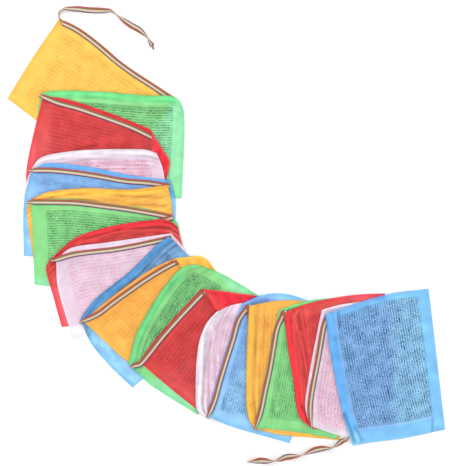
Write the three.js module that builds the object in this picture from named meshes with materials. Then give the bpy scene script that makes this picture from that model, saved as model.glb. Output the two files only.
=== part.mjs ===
// A string of twenty prayer flags, folded back and forth into a fanned pile that lies flat.
// Millimetres, +Z up. X runs to the right and Y away from the viewer who looks down on the pile.
import * as THREE from "three";

// Driving dimensions
const CLOTH_THICKNESS = 1;
const TAPE_WIDTH = 15;
const TAPE_THICKNESS = 1;
const LAYER_GAP = 0.36;
const CELLS_ALONG_HEADING = 10;
const CELLS_DOWN = 8;

// How far the hidden tape lies inside the heading of a flag that shows its back
const BACK_INSET = 1;
// What a fold of the tape keeps free round the cloth ends inside it
const FOLD_CLEARANCE = 1;
const FOLD_STEPS = 4;
const RIM_SAMPLES = 12;
// The share of a side edge that sets its direction at the heading
const SIDE_START = 0.15;
const LONGEST_TAPE_STEP = 34;
const SHORTEST_TAPE_STEP = 6;
const SHARPEST_TAPE_STEP = THREE.MathUtils.degToRad(18);

// Places along a heading, from its outer end, 0, to its inner end, 1, that guide the tape
const FRONT_GUIDES = [0.14, 0.32, 0.5, 0.68, 0.86];
const BACK_GUIDES = [0.8, 0.6, 0.4, 0.2];
// Where along the lowest heading its tie begins
const TIE_PLACE = 0.03;

// The height map that each new layer settles on
const MAP_CELL = 2;
const MAP_REACH = 580;
const MAP_SIDE = (2 * MAP_REACH) / MAP_CELL;
const LIFT_PASSES = 300;
const SINK_PASSES = 120;
const SETTLE_TOLERANCE = 0.02;

const CLOTH_COLOURS = {
  yellow: 0xfbb24f,
  green: 0x7ed681,
  red: 0xdf3d48,
  white: 0xefe2ee,
  blue: 0x62abe9,
};
const TAPE_COLOUR = 0xb9a878;

// One row for each flag, from the bottom of the pile to its top. Places are [x, y].
// front: the printed front and the tape face up; otherwise the back does, and the tape is underneath
// heading: the edge with the tape, from the pile's outer side to its inner side
// outerSide, innerSide: what the side edges pass between the heading and the hem
// hem: the lower edge, from the outer side to the inner side
// strip: the cloth that shows beyond the tape, at the heading's outer end, middle and inner end
// crease: where the tape turns over inside a folded corner at the inner end
// turn: the tape's way from that crease to the heading of the next flag
const FLAGS = [
  {
    cloth: "yellow",
    front: true,
    heading: [[-393, 509], [-299, 451], [-251, 415], [-121, 323]],
    outerSide: [[-456, 417]],
    innerSide: [],
    hem: [[-516, 320], [-255, 120]],
    strip: [0, 0, 0],
  },
  {
    cloth: "green",
    front: false,
    heading: [[-435, 326], [-419, 336], [-312, 336], [-184, 326], [-123, 323], [-107, 309]],
    outerSide: [[-447, 270]],
    innerSide: [[-100, 283]],
    hem: [[-454, 94], [-105, 84]],
  },
  {
    cloth: "red",
    front: true,
    heading: [[-431, 323], [-388, 320], [-282, 288], [-178, 247]],
    outerSide: [[-447, 266], [-471, 153]],
    innerSide: [[-150, 198], [-134, 171], [-140, 135]],
    hem: [[-472, 99], [-152, 28]],
    strip: [4, 7, 5],
    crease: [-169, 225],
  },
  {
    cloth: "white",
    front: false,
    heading: [[-459, 151], [-439, 178], [-373, 194], [-238, 200], [-187, 198], [-163, 190]],
    outerSide: [[-474, 113]],
    innerSide: [[-148, 148]],
    hem: [[-468, -42], [-137, -33]],
    turn: [[-170, 208], [-179, 192], [-196, 188]],
  },
  {
    cloth: "blue",
    front: true,
    heading: [[-456, 151], [-426, 166], [-328, 159], [-227, 139], [-132, 127]],
    outerSide: [[-476, 78]],
    innerSide: [[-120, 78]],
    hem: [[-477, -51], [-130, -66]],
    strip: [7, 9, 1],
  },
  {
    cloth: "yellow",
    front: false,
    heading: [[-461, 78], [-426, 97], [-336, 108], [-226, 105], [-137, 115]],
    outerSide: [[-469, 59], [-461, -14]],
    innerSide: [[-128, 66]],
    hem: [[-447, -104], [-128, -85]],
  },
  {
    cloth: "green",
    front: true,
    heading: [[-459, 77], [-392, 84], [-336, 84], [-226, 70], [-128, 45]],
    outerSide: [[-454, -31]],
    innerSide: [[-112, 18]],
    hem: [[-452, -119], [-128, -156]],
    strip: [1, 1, 1],
  },
  {
    cloth: "red",
    front: false,
    heading: [[-425, -68], [-390, -38], [-354, -9], [-262, 20], [-137, 32], [-115, 19]],
    outerSide: [[-407, -150]],
    innerSide: [[-103, -29]],
    hem: [[-388, -219], [-81, -189]],
  },
  {
    cloth: "white",
    front: true,
    heading: [[-399, -61], [-367, -34], [-282, -20], [-171, -4], [-129, 2]],
    outerSide: [[-398, -119]],
    innerSide: [[-99, -36]],
    hem: [[-362, -247], [-52, -184]],
    strip: [5, 12, 3],
  },
  {
    cloth: "blue",
    front: false,
    heading: [[-343, -199], [-312, -157], [-227, -88], [-162, -25], [-135, -5]],
    outerSide: [[-320, -255], [-277, -308]],
    innerSide: [[-85, -55]],
    hem: [[-221, -362], [9, -163]],
  },
  {
    cloth: "yellow",
    front: true,
    heading: [[-336, -205], [-280, -157], [-169, -79], [-120, -57]],
    outerSide: [[-251, -286]],
    innerSide: [[-55, -54], [-23, -88]],
    hem: [[-175, -347], [66, -212]],
    strip: [-2, 2, 0],
    crease: [-118, -64],
  },
  {
    cloth: "green",
    front: false,
    heading: [[-230, -304], [-208, -228], [-139, -116], [-98, -76], [-71, -71]],
    outerSide: [[-180, -354]],
    innerSide: [[-23, -88], [26, -114]],
    hem: [[-67, -426], [115, -170]],
    turn: [[-98, -76], [-90, -88], [-102, -102]],
  },
  {
    cloth: "red",
    front: true,
    heading: [[-205, -300], [-169, -251], [-120, -194], [-58, -129]],
    outerSide: [[-126, -368]],
    innerSide: [[-17, -134], [71, -146]],
    hem: [[-52, -427], [155, -165]],
    strip: [4, 5, 8],
    crease: [-48, -142],
  },
  {
    cloth: "white",
    front: false,
    heading: [[-41, -431], [-67, -417], [-72, -363], [-64, -255], [-47, -211], [-23, -183]],
    outerSide: [[56, -458]],
    innerSide: [[21, -165]],
    hem: [[153, -479], [193, -158]],
    turn: [[-32, -166], [-26, -189]],
  },
  {
    cloth: "blue",
    front: true,
    heading: [[-46, -427], [-23, -343], [14, -224], [42, -162]],
    outerSide: [[-2, -448]],
    innerSide: [[84, -144], [144, -142]],
    hem: [[149, -493], [254, -182]],
    strip: [2, 2, 2],
  },
  {
    cloth: "yellow",
    front: false,
    heading: [[67, -457], [52, -432], [47, -321], [52, -199], [54, -168]],
    outerSide: [[118, -471]],
    innerSide: [[135, -156]],
    hem: [[269, -486], [278, -165]],
  },
  {
    cloth: "green",
    front: true,
    heading: [[67, -455], [80, -385], [106, -238], [125, -177]],
    outerSide: [[157, -465]],
    innerSide: [[181, -160], [240, -152]],
    hem: [[261, -483], [342, -158]],
    strip: [0, 1, 0],
  },
  {
    cloth: "red",
    front: false,
    heading: [[201, -457], [172, -429], [158, -345], [141, -235], [139, -184]],
    outerSide: [[292, -465]],
    innerSide: [[190, -164], [298, -144]],
    hem: [[403, -455], [374, -140]],
  },
  {
    cloth: "white",
    front: true,
    heading: [[198, -451], [186, -408], [193, -343], [213, -235], [225, -178]],
    outerSide: [[282, -478]],
    innerSide: [[275, -165]],
    hem: [[417, -467], [431, -151]],
    strip: [2, 6, 3],
  },
  {
    cloth: "blue",
    front: false,
    heading: [[297, -497], [275, -428], [242, -262], [232, -188]],
    outerSide: [[349, -490], [426, -480]],
    innerSide: [[375, -143]],
    hem: [[516, -461], [493, -262], [477, -129]],
  },
];

// The tie at the lowest flag, from its free end. Rows are [x, y, degrees that the tape is rolled over].
const LOWER_TIE = [
  [-167, 435, 500],
  [-177, 451, 470],
  [-185, 463, 450],
  [-193, 471, 390],
  [-211, 483, 335],
  [-232, 496, 330],
  [-249, 508, 310],
  [-262, 519, 270],
  [-277, 527, 215],
  [-300, 528, 160],
  [-336, 530, 150],
  [-364, 533, 140],
  [-382, 531, 115],
  [-393, 523, 95],
  [-397, 513, 60],
];

// The tie at the top flag: flat under that flag's corner, and then rolled over to its free end
const UPPER_TIE_START = [[291, -463], [286, -480], [269, -491]];
const UPPER_TIE = [
  [249, -502, 270],
  [228, -505, 330],
  [205, -508, 345],
  [182, -514, 380],
  [168, -521, 450],
  [149, -524, 510],
  [131, -529, 530],
  [111, -536, 630],
  [90, -536, 690],
  [72, -535, 700],
  [49, -536, 710],
];

const UP = new THREE.Vector3(0, 0, 1);

function place([x, y]) {
  return new THREE.Vector3(x, y, 0);
}

function smoothCurve(places) {
  return new THREE.CatmullRomCurve3(places, false, "centripetal");
}

function rightOf(direction) {
  return new THREE.Vector3(direction.y, -direction.x, 0).normalize();
}

// The four edges of a flag as curves, each from the heading's end or the outer side
function flagEdges(row) {
  const heading = row.heading.map(place);
  const hem = row.hem.map(place);
  return {
    heading: smoothCurve(heading),
    hem: smoothCurve(hem),
    outerSide: smoothCurve([heading[0], ...row.outerSide.map(place), hem[0]]),
    innerSide: smoothCurve([heading.at(-1), ...row.innerSide.map(place), hem.at(-1)]),
  };
}

// Two triangles for each cell of a grid of points, all with the same diagonal
function gridTriangles(columns, rows) {
  const triangles = [];
  for (let row = 0; row < rows; row += 1) {
    for (let column = 0; column < columns; column += 1) {
      const a = row * (columns + 1) + column;
      const b = a + 1;
      const c = a + columns + 1;
      triangles.push([a, c, b], [b, c, c + 1]);
    }
  }
  return triangles;
}

// A flag's middle surface, flat, stretched between its four edges
function flagSheet(edges) {
  const corners = {
    outerTop: edges.heading.getPointAt(0),
    innerTop: edges.heading.getPointAt(1),
    outerLow: edges.hem.getPointAt(0),
    innerLow: edges.hem.getPointAt(1),
  };
  const points = [];
  for (let row = 0; row <= CELLS_DOWN; row += 1) {
    const v = row / CELLS_DOWN;
    for (let column = 0; column <= CELLS_ALONG_HEADING; column += 1) {
      const u = column / CELLS_ALONG_HEADING;
      const point = new THREE.Vector3(0, 0, CLOTH_THICKNESS / 2);
      point.addScaledVector(edges.heading.getPointAt(u), 1 - v);
      point.addScaledVector(edges.hem.getPointAt(u), v);
      point.addScaledVector(edges.outerSide.getPointAt(v), 1 - u);
      point.addScaledVector(edges.innerSide.getPointAt(v), u);
      point.addScaledVector(corners.outerTop, -(1 - u) * (1 - v));
      point.addScaledVector(corners.innerTop, -u * (1 - v));
      point.addScaledVector(corners.outerLow, -(1 - u) * v);
      point.addScaledVector(corners.innerLow, -u * v);
      points.push(point);
    }
  }
  return {
    points,
    columns: CELLS_ALONG_HEADING,
    rows: CELLS_DOWN,
    triangles: gridTriangles(CELLS_ALONG_HEADING, CELLS_DOWN),
    thickness: CLOTH_THICKNESS,
  };
}

// Calls visit with each map cell whose middle lies under the triangle, and the corners' weights there
function eachCellUnder([a, b, c], visit) {
  const area = (b.x - a.x) * (c.y - a.y) - (c.x - a.x) * (b.y - a.y);
  if (Math.abs(area) < Number.EPSILON) {
    return;
  }
  const cellOf = (value) => (value + MAP_REACH) / MAP_CELL - 0.5;
  const middleOf = (cell) => (cell + 0.5) * MAP_CELL - MAP_REACH;
  const firstRow = Math.ceil(cellOf(Math.min(a.y, b.y, c.y)));
  const firstColumn = Math.ceil(cellOf(Math.min(a.x, b.x, c.x)));
  for (let row = firstRow; middleOf(row) <= Math.max(a.y, b.y, c.y); row += 1) {
    const y = middleOf(row);
    for (let column = firstColumn; middleOf(column) <= Math.max(a.x, b.x, c.x); column += 1) {
      const x = middleOf(column);
      const weightA = ((b.x - x) * (c.y - y) - (c.x - x) * (b.y - y)) / area;
      const weightB = ((c.x - x) * (a.y - y) - (a.x - x) * (c.y - y)) / area;
      const weightC = 1 - weightA - weightB;
      if (weightA >= 0 && weightB >= 0 && weightC >= 0) {
        visit(row * MAP_SIDE + column, [weightA, weightB, weightC]);
      }
    }
  }
}

// The highest place in the 3 by 3 cells round each cell
function widened(map) {
  const alongRows = map.map((height, cell) => Math.max(map[cell - 1] ?? 0, height, map[cell + 1] ?? 0));
  return alongRows.map((height, cell) =>
    Math.max(alongRows[cell - MAP_SIDE] ?? 0, height, alongRows[cell + MAP_SIDE] ?? 0));
}

// Every cell where a sheet lies over the pile: the corners that carry it there, and how high it has to be
function findContacts(sheet, pile) {
  const tops = widened(pile);
  const contacts = [];
  for (const triangle of sheet.triangles) {
    const corners = triangle.map((index) => sheet.points[index]);
    eachCellUnder(corners, (cell, weights) => {
      if (tops[cell] > 0) {
        contacts.push({ triangle, weights, least: tops[cell] + LAYER_GAP + sheet.thickness / 2 });
      }
    });
  }
  return contacts;
}

function heightAt(sheet, { triangle, weights }) {
  return weights[0] * sheet.points[triangle[0]].z
    + weights[1] * sheet.points[triangle[1]].z
    + weights[2] * sheet.points[triangle[2]].z;
}

// Lifts a sheet's points until its stiff triangles clear the pile, and then lets each sink as far as it can
function settle(sheet, pile) {
  const contacts = findContacts(sheet, pile);
  for (let pass = 0; pass < LIFT_PASSES; pass += 1) {
    const lifts = new Array(sheet.points.length).fill(0);
    let worst = 0;
    for (const contact of contacts) {
      const shortfall = contact.least - heightAt(sheet, contact);
      if (shortfall > 0) {
        const { triangle, weights } = contact;
        const share = shortfall / (weights[0] ** 2 + weights[1] ** 2 + weights[2] ** 2);
        worst = Math.max(worst, shortfall);
        triangle.forEach((index, corner) => {
          lifts[index] = Math.max(lifts[index], share * weights[corner]);
        });
      }
    }
    sheet.points.forEach((point, index) => {
      point.z += lifts[index];
    });
    if (worst < SETTLE_TOLERANCE) {
      break;
    }
  }
  for (let pass = 0; pass < SINK_PASSES; pass += 1) {
    const slack = sheet.points.map((point) => point.z - sheet.thickness / 2);
    for (const contact of contacts) {
      const spare = Math.max(0, heightAt(sheet, contact) - contact.least);
      contact.triangle.forEach((index, corner) => {
        if (contact.weights[corner] > 0) {
          slack[index] = Math.min(slack[index], spare / contact.weights[corner]);
        }
      });
    }
    // A third each, because three corners share every contact
    sheet.points.forEach((point, index) => {
      point.z -= slack[index] / 3;
    });
  }
}

function addToPile(sheet, pile) {
  for (const triangle of sheet.triangles) {
    const corners = triangle.map((index) => sheet.points[index]);
    eachCellUnder(corners, (cell, weights) => {
      const height = weights[0] * corners[0].z + weights[1] * corners[1].z + weights[2] * corners[2].z;
      pile[cell] = Math.max(pile[cell], height + sheet.thickness / 2);
    });
  }
}

// The tape's middle line beside a heading, at a place along it from 0 to 1
function tapeGuide(flag, along) {
  const [outerStrip, middleStrip, innerStrip] = flag.strip ?? [BACK_INSET, BACK_INSET, BACK_INSET];
  const strip = outerStrip * (1 - along) * (1 - 2 * along)
    + middleStrip * 4 * along * (1 - along)
    + innerStrip * along * (2 * along - 1);
  const inward = rightOf(flag.edges.heading.getTangentAt(along));
  return flag.edges.heading.getPointAt(along).addScaledVector(inward, TAPE_WIDTH / 2 + strip);
}

// How far a sheet's rim reaches beyond a place, within the tape's width of it
function reachBeyond(sheet, middle, outward, creaseWay) {
  let reach = 0;
  const last = (sheet.rows + 1) * (sheet.columns + 1) - 1;
  const rim = [];
  for (let column = 0; column < sheet.columns; column += 1) {
    rim.push([column, column + 1], [last - column, last - column - 1]);
  }
  for (let row = 0; row < sheet.rows; row += 1) {
    const left = row * (sheet.columns + 1);
    rim.push([left, left + sheet.columns + 1], [last - left, last - left - sheet.columns - 1]);
  }
  for (const [from, to] of rim) {
    for (let step = 0; step <= RIM_SAMPLES; step += 1) {
      const offset = sheet.points[from].clone().lerp(sheet.points[to], step / RIM_SAMPLES).sub(middle);
      if (Math.abs(offset.dot(creaseWay)) < TAPE_WIDTH / 2 + 2 * FOLD_CLEARANCE) {
        reach = Math.max(reach, offset.dot(outward));
      }
    }
  }
  return reach;
}

// The way in which a flag's outer side leaves its heading
function sideStart(flag) {
  const start = flag.edges.outerSide.getPointAt(0);
  return flag.edges.outerSide.getPointAt(SIDE_START).sub(start).normalize();
}

// Where the tape folds back between two flags, and which way it bulges there
function foldBetween(flag, next) {
  const outerEnd = !flag.front;
  const end = outerEnd ? 0 : 1;
  const near = outerEnd ? BACK_GUIDES.at(-1) : FRONT_GUIDES.at(-1);
  const nextNear = outerEnd ? FRONT_GUIDES[0] : BACK_GUIDES[0];
  const middle = flag.crease
    ? place(flag.crease)
    : tapeGuide(flag, end).lerp(tapeGuide(next, end), 0.5);
  const arriving = middle.clone().sub(tapeGuide(flag, near)).normalize();
  const after = next.turn ? place(next.turn[0]) : tapeGuide(next, nextNear);
  const leaving = after.sub(middle).normalize();
  const outward = arriving.clone().sub(leaving).normalize();
  const creaseWay = rightOf(outward);
  if (outerEnd) {
    // Between the square fold and the cloth's own side edges, so that it closes round them
    const sideWay = sideStart(flag).add(sideStart(next)).normalize();
    creaseWay.multiplyScalar(Math.sign(creaseWay.dot(sideWay))).add(sideWay).normalize();
    outward.copy(rightOf(creaseWay).multiplyScalar(Math.sign(rightOf(creaseWay).dot(outward))));
    const reach = Math.max(...[flag, next].map((one) => reachBeyond(one.sheet, middle, outward, creaseWay)));
    middle.addScaledVector(outward, reach + FOLD_CLEARANCE);
  }
  return { middle, outward, creaseWay };
}

// Places along a curve, closer together where it bends, clear of slanted creases at its ends
function stepsAlong(curve, clearStart, clearEnd) {
  const length = curve.getLength();
  const fine = Math.ceil(length);
  const steps = [];
  let last = 0;
  let lastWay = curve.getTangentAt(0);
  for (let index = 1; index < fine; index += 1) {
    const along = index / fine;
    const distance = along * length;
    const way = curve.getTangentAt(along);
    const turned = way.angleTo(lastWay);
    const due = distance - last >= LONGEST_TAPE_STEP
      || (turned >= SHARPEST_TAPE_STEP && distance - last >= SHORTEST_TAPE_STEP);
    if (due && distance >= clearStart && distance <= length - clearEnd) {
      steps.push(along);
      last = distance;
      lastWay = way;
    }
  }
  return steps;
}

// How far a slanted crease reaches along the tape beside its middle
function creaseReach(fold, way) {
  const slant = Math.abs(fold.creaseWay.dot(way)) / Math.abs(fold.creaseWay.dot(rightOf(way)));
  return (TAPE_WIDTH / 2) * slant + SHORTEST_TAPE_STEP;
}

// One run of the tape beside one flag: its outer and inner edge at each step, as a sheet two points wide
function tapeRun(flag, before, after, tail) {
  const guides = (flag.front ? FRONT_GUIDES : BACK_GUIDES).map((along) => tapeGuide(flag, along));
  const path = [
    before ? before.middle : tapeGuide(flag, TIE_PLACE),
    ...(flag.turn ?? []).map(place),
    ...guides,
    ...(after ? [after.middle] : tail.map(place)),
  ];
  const curve = smoothCurve(path);
  const startWay = curve.getTangentAt(0);
  const endWay = curve.getTangentAt(1);
  const side = flag.front ? 1 : -1;
  const points = [];
  const addStep = (middle, widthWay, halfWidth) => {
    const half = widthWay.clone().multiplyScalar(halfWidth);
    points.push(middle.clone().sub(half), middle.clone().add(half));
  };
  const addCrease = (fold, way) => {
    const widthWay = rightOf(way).multiplyScalar(side);
    const lean = fold.creaseWay.dot(widthWay);
    const slanted = fold.creaseWay.clone().multiplyScalar(Math.sign(lean));
    addStep(fold.middle, slanted, TAPE_WIDTH / 2 / Math.abs(lean));
  };
  const addSquare = (along) => {
    addStep(curve.getPointAt(along), rightOf(curve.getTangentAt(along)).multiplyScalar(side), TAPE_WIDTH / 2);
  };
  if (before) {
    addCrease(before, startWay);
  } else {
    addSquare(0);
  }
  const clearStart = before ? creaseReach(before, startWay) : SHORTEST_TAPE_STEP;
  const clearEnd = after ? creaseReach(after, endWay) : SHORTEST_TAPE_STEP;
  stepsAlong(curve, clearStart, clearEnd).forEach(addSquare);
  if (after) {
    addCrease(after, endWay);
  } else {
    addSquare(1);
  }
  points.forEach((point) => point.setZ(TAPE_THICKNESS / 2));
  const rows = points.length / 2 - 1;
  return { points, columns: 1, rows, triangles: gridTriangles(1, rows), thickness: TAPE_THICKNESS };
}

// A section of the tape: its outer and inner edge, and the way that its front faces
function runSections(run, front) {
  const sections = [];
  for (let index = 0; index < run.points.length; index += 2) {
    sections.push({
      outer: run.points[index],
      inner: run.points[index + 1],
      facing: UP.clone().multiplyScalar(front ? 1 : -1),
    });
  }
  return sections;
}

// The half turn of the tape between the last section of one run and the first of the next
function foldSections(lower, upper, fold, facesIn) {
  const sections = [];
  for (let step = 1; step < FOLD_STEPS; step += 1) {
    const angle = (Math.PI * step) / FOLD_STEPS;
    const sign = facesIn ? 1 : -1;
    const edge = (from, to) => {
      const rise = to.z - from.z;
      const point = from.clone().lerp(to, step / FOLD_STEPS);
      point.z = from.z + (rise * (1 - Math.cos(angle))) / 2;
      return point.addScaledVector(fold.outward, (rise / 2) * Math.sin(angle));
    };
    const facing = UP.clone().multiplyScalar(sign * Math.cos(angle));
    facing.addScaledVector(fold.outward, -sign * Math.sin(angle));
    sections.push({ outer: edge(lower.outer, upper.outer), inner: edge(lower.inner, upper.inner), facing });
  }
  return sections;
}

// A free tie that rolls over as it lies on the pile or the floor
function tieSections(rows, pile) {
  const curve = new THREE.CatmullRomCurve3(rows.map(place));
  const tops = widened(widened(widened(pile)));
  const sections = [];
  const steps = 2 * (rows.length - 1);
  for (let step = 0; step <= steps; step += 1) {
    const along = step / steps;
    const row = Math.min(Math.floor(step / 2), rows.length - 1);
    const next = Math.min(row + 1, rows.length - 1);
    const roll = THREE.MathUtils.degToRad(THREE.MathUtils.lerp(rows[row][2], rows[next][2], (step % 2) / 2));
    const middle = curve.getPoint(along);
    const right = rightOf(curve.getTangent(along));
    const widthWay = right.clone().multiplyScalar(Math.cos(roll)).addScaledVector(UP, Math.sin(roll));
    const facing = UP.clone().multiplyScalar(Math.cos(roll)).addScaledVector(right, -Math.sin(roll));
    const half = widthWay.multiplyScalar(TAPE_WIDTH / 2);
    const ends = [middle.clone().sub(half), middle.clone().add(half)];
    const below = Math.max(...[middle, ...ends].map((point) => {
      const column = Math.round((point.x + MAP_REACH) / MAP_CELL - 0.5);
      const line = Math.round((point.y + MAP_REACH) / MAP_CELL - 0.5);
      return tops[line * MAP_SIDE + column];
    }));
    const rest = below > 0 ? below + LAYER_GAP : 0;
    const lift = rest + Math.abs(half.z) + (Math.abs(facing.z) * TAPE_THICKNESS) / 2;
    ends.forEach((point) => {
      point.z += lift;
    });
    sections.push({ outer: ends[0], inner: ends[1], facing });
  }
  return sections;
}

function closedGeometry(positions, faces) {
  const corner = (index) => new THREE.Vector3().fromArray(positions, 3 * index);
  let volume = 0;
  for (const [a, b, c] of faces) {
    volume += corner(a).dot(corner(b).cross(corner(c)));
  }
  const outward = volume > 0 ? faces : faces.map(([a, b, c]) => [a, c, b]);
  const geometry = new THREE.BufferGeometry();
  geometry.setAttribute("position", new THREE.Float32BufferAttribute(positions, 3));
  geometry.setIndex(outward.flat());
  geometry.computeVertexNormals();
  return geometry;
}

// A sheet of even thickness from its middle surface
function sheetGeometry(sheet) {
  const half = sheet.thickness / 2;
  const count = sheet.points.length;
  const positions = [];
  for (const side of [half, -half]) {
    sheet.points.forEach((point) => positions.push(point.x, point.y, point.z + side));
  }
  const faces = [];
  for (const [a, b, c] of sheet.triangles) {
    faces.push([a, b, c], [count + a, count + c, count + b]);
  }
  const wall = (from, to) => faces.push([from, to, count + to], [from, count + to, count + from]);
  const stride = sheet.columns + 1;
  const last = count - 1;
  for (let column = 0; column < sheet.columns; column += 1) {
    wall(column, column + 1);
    wall(last - column, last - column - 1);
  }
  for (let row = 0; row < sheet.rows; row += 1) {
    wall((row + 1) * stride, row * stride);
    wall(row * stride + stride - 1, (row + 1) * stride + stride - 1);
  }
  return closedGeometry(positions, faces);
}

// The whole tape as one band of even thickness through its sections
function bandGeometry(sections) {
  const positions = [];
  for (const { outer, inner, facing } of sections) {
    for (const [edge, side] of [[outer, 1], [inner, 1], [inner, -1], [outer, -1]]) {
      const corner = edge.clone().addScaledVector(facing, (side * TAPE_THICKNESS) / 2);
      positions.push(corner.x, corner.y, corner.z);
    }
  }
  const faces = [[0, 1, 2], [0, 2, 3]];
  for (let section = 0; section < sections.length - 1; section += 1) {
    const a = 4 * section;
    const b = a + 4;
    // Front and back share the diagonal that the settled triangles have
    faces.push([a, b, a + 1], [a + 1, b, b + 1]);
    faces.push([a + 3, a + 2, b + 3], [a + 2, b + 2, b + 3]);
    faces.push([a + 1, b + 1, b + 2], [a + 1, b + 2, a + 2]);
    faces.push([a, a + 3, b + 3], [a, b + 3, b]);
  }
  const end = 4 * (sections.length - 1);
  faces.push([end, end + 2, end + 1], [end, end + 3, end + 2]);
  return closedGeometry(positions, faces);
}

function clothMesh(flag, name) {
  const material = new THREE.MeshStandardMaterial({
    color: CLOTH_COLOURS[flag.cloth],
    roughness: 0.9,
    metalness: 0,
  });
  const mesh = new THREE.Mesh(sheetGeometry(flag.sheet), material);
  mesh.name = name;
  return mesh;
}

function tapeMesh(sections) {
  const material = new THREE.MeshStandardMaterial({ color: TAPE_COLOUR, roughness: 0.85, metalness: 0 });
  const mesh = new THREE.Mesh(bandGeometry(sections), material);
  mesh.name = "tape";
  return mesh;
}

// Lays every layer on the ones below it, in the order in which the string folds up
function buildString() {
  const flags = FLAGS.map((row) => {
    const edges = flagEdges(row);
    return { ...row, edges, sheet: flagSheet(edges) };
  });
  const folds = flags.slice(0, -1).map((flag, index) => foldBetween(flag, flags[index + 1]));
  const pile = new Float32Array(MAP_SIDE * MAP_SIDE);
  const layOn = (sheet) => {
    settle(sheet, pile);
    addToPile(sheet, pile);
  };
  const sections = [];
  flags.forEach((flag, index) => {
    const run = tapeRun(flag, folds[index - 1], folds[index], UPPER_TIE_START);
    for (const sheet of flag.front ? [flag.sheet, run] : [run, flag.sheet]) {
      layOn(sheet);
    }
    if (index === 0) {
      sections.push(...tieSections(LOWER_TIE, pile));
    }
    const next = runSections(run, flag.front);
    if (index > 0) {
      sections.push(...foldSections(sections.at(-1), next[0], folds[index - 1], !flag.front));
    }
    sections.push(...next);
  });
  sections.push(...tieSections(UPPER_TIE, pile));

  const group = new THREE.Group();
  flags.forEach((flag, index) => {
    const number = String(flags.length - index).padStart(2, "0");
    group.add(clothMesh(flag, `flag_${number}`));
  });
  group.add(tapeMesh(sections));
  return group;
}

// Stands the pile on its own base, with the origin under the middle of its outline
function centred(group) {
  const box = new THREE.Box3().setFromObject(group);
  const middle = box.getCenter(new THREE.Vector3());
  group.position.set(-middle.x, -middle.y, -box.min.z);
  return group;
}

export default centred(buildString());
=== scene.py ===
"""A string of twenty prayer flags, folded back and forth on its tape into a fanned pile on the floor."""
import math

import bpy
import numpy as np
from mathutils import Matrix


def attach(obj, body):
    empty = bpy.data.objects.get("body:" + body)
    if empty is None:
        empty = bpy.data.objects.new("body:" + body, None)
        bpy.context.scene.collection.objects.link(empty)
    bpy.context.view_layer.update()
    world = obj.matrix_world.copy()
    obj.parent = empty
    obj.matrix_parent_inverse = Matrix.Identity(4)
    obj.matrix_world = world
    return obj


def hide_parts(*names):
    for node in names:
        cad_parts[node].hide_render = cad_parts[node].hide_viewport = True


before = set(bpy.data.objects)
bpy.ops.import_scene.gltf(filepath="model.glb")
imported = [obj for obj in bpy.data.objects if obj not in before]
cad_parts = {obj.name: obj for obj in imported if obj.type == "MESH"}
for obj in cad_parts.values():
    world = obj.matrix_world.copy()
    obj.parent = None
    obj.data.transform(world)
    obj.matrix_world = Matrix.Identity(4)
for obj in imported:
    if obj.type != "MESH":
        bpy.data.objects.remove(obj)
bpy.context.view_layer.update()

MM = 0.001

# The pile's own places are in millimetres, from the middle of the photographed outline
LONGEST_CELL = 3.5
CLOTH_THICKNESS = 0.45
TAPE_THICKNESS = 0.8
TAPE_WIDTH = 14.0
TAPE_CELLS_ACROSS = 6
TAPE_STEP = 4.0
FLAG_WIDTH = 310.0
FLAG_DROP = 230.0

# How a layer lies on the pile
MAP_CELL = 2.0
MAP_REACH = 590.0
MAP_SIDE = int(2 * MAP_REACH / MAP_CELL)
LAYER_GAP = 0.3
LOOSENESS = 1.1
PUCKER_HEIGHT = 0.2
MEAN_INK = 0.45
DRAPE_PASSES = 260
SAG = 0.035

# How the tape turns from one flag to the next
BACK_INSET = 1.0
FOLD_CLEARANCE = 0.4
FOLD_STEPS = 8
CREASE_DROP = 1.2
FLAP_BRIGHTNESS = 1.12
FRAYED_PLACES = [0.04, 0.13, 0.22, 0.31, 0.7, 0.79, 0.88, 0.96]
TAPE_CURL = 0.93
CURL_HEIGHT = 0.5
FOLD_SHARE = 0.42
CORNER_INSET = 2.5
# How strongly the relief is painted into the cloth's colour: painted shade in its troughs, painted light on its ridges
CREASE_SHADING = 0.28
SIDE_START = 0.15
FRONT_GUIDES = [0.14, 0.32, 0.5, 0.68, 0.86]
BACK_GUIDES = [0.8, 0.6, 0.4, 0.2]
TIE_PLACE = 0.03

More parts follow.
